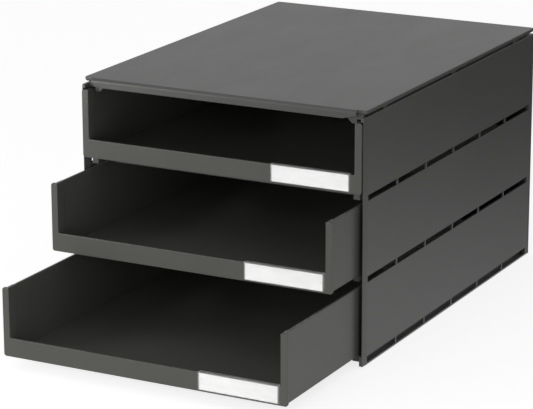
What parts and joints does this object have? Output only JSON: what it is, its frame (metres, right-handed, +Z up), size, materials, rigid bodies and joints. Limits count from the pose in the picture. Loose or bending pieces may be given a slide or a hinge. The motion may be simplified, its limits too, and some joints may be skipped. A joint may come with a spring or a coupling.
{
  "type": "letter tray stack",
  "caption": "Desktop letter tray box: a housing with slotted sides and a lipped cover, holding open-fronted trays that slide out, each with a clear label holder on its low lip.",
  "frame": {"origin": "on the table, under the centre of the housing's footprint", "axes": "+X to the right seen from the front, +Y from the open front to the back panel, +Z up; the trays slide out along -Y"},
  "size_m": [0.246, 0.4582, 0.2017],
  "materials": {
    "housing_plastic": "fine satin grain, anthracite grey",
    "tray_plastic": "fine satin grain, anthracite grey",
    "clear_plastic": "clear and polished",
    "label_card": "blank white card",
    "foot_rubber": "soft matt rubber"
  },
  "bodies": {
    "housing": {"side_panel_left": "housing_plastic", "side_panel_right": "housing_plastic", "back_panel": "housing_plastic", "base_panel": "housing_plastic", "shelf_lower": "housing_plastic", "shelf_upper": "housing_plastic", "top_cover": "housing_plastic", "foot_front_left": "foot_rubber", "foot_front_right": "foot_rubber", "foot_back_left": "foot_rubber", "foot_back_right": "foot_rubber"},
    "bottom_tray": {"tray_bottom": "tray_plastic", "label_holder_bottom": "clear_plastic", "label_card_bottom": "label_card"},
    "middle_tray": {"tray_middle": "tray_plastic", "label_holder_middle": "clear_plastic", "label_card_middle": "label_card"},
    "top_tray": {"tray_top": "tray_plastic", "label_holder_top": "clear_plastic", "label_card_top": "label_card"}
  },
  "joints": [
    {"name": "bottom_tray_slide", "type": "slide", "parent": "housing", "child": "bottom_tray", "axis": [0, -1, 0], "range_m": [-0.12, 0.12]},
    {"name": "middle_tray_slide", "type": "slide", "parent": "housing", "child": "middle_tray", "axis": [0, -1, 0], "range_m": [-0.048, 0.192]},
    {"name": "top_tray_slide", "type": "slide", "parent": "housing", "child": "top_tray", "axis": [0, -1, 0], "range_m": [0, 0.24]}
  ]
}
